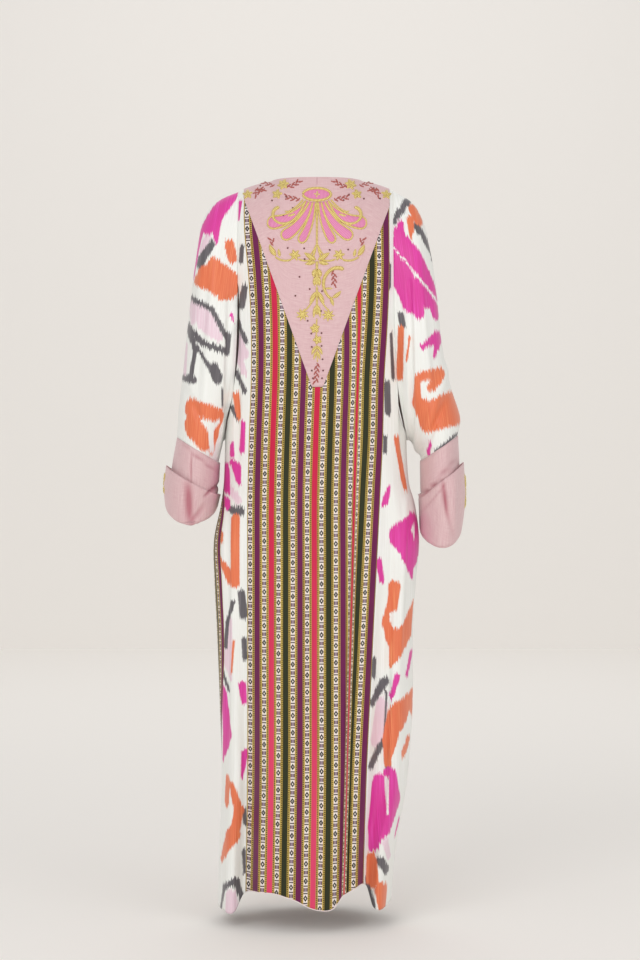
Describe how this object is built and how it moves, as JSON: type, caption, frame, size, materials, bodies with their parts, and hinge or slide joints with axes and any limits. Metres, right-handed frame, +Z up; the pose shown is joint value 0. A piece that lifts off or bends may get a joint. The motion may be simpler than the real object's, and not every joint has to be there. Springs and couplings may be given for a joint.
{
  "type": "worn ikat kaftan dress",
  "caption": "Full-length dolman-sleeved ikat kaftan with woven striped panels, an embroidered pink yoke and turned-back pink cuffs, in its worn shape",
  "frame": {"origin": "On the mid-plane at the height of the neck edge on the shoulders, where the wearer's shoulders hold the dress", "axes": "+Z up, the front of the dress faces -Y, +X toward the wearer's left"},
  "size_m": [0.6016, 0.3326, 1.4481],
  "materials": {
    "striped_weave": "velvet stripes between flat woven gold bands",
    "ikat_silk": "smooth silk with a soft sheen",
    "pink_silk": "slubbed matt silk"
  },
  "bodies": {
    "root": {"back_panel": "striped_weave", "front_panel": "striped_weave", "back_yoke": "pink_silk", "front_yoke": "pink_silk", "side_left": "ikat_silk", "side_right": "ikat_silk", "sleeve_left": "ikat_silk", "sleeve_right": "ikat_silk", "cuff_left": "pink_silk", "cuff_right": "pink_silk"}
  },
  "joints": []
}
